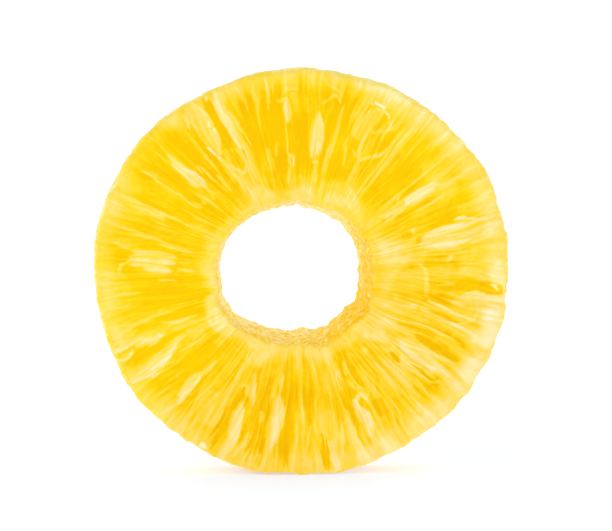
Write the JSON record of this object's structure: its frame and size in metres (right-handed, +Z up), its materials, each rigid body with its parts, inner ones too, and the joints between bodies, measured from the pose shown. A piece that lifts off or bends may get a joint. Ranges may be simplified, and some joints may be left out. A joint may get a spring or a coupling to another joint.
{
  "type": "pineapple ring",
  "caption": "Thick ring of fresh pineapple, peeled and cored, standing on the foot of its rim.",
  "frame": {"origin": "middle of the small flat foot at the bottom of the rim, at the bottom centre of the bounding box", "axes": "+Z up, +Y from the shown front face through the slice to its back, +X to the right as the front face is seen; the front face looks along -Y"},
  "size_m": [0.0904, 0.0154, 0.0884],
  "materials": {
    "flesh": "wet, juicy fruit flesh in deep yellow, with paler radial fibres"
  },
  "bodies": {
    "root": {"pineapple_ring": "flesh"}
  },
  "joints": []
}
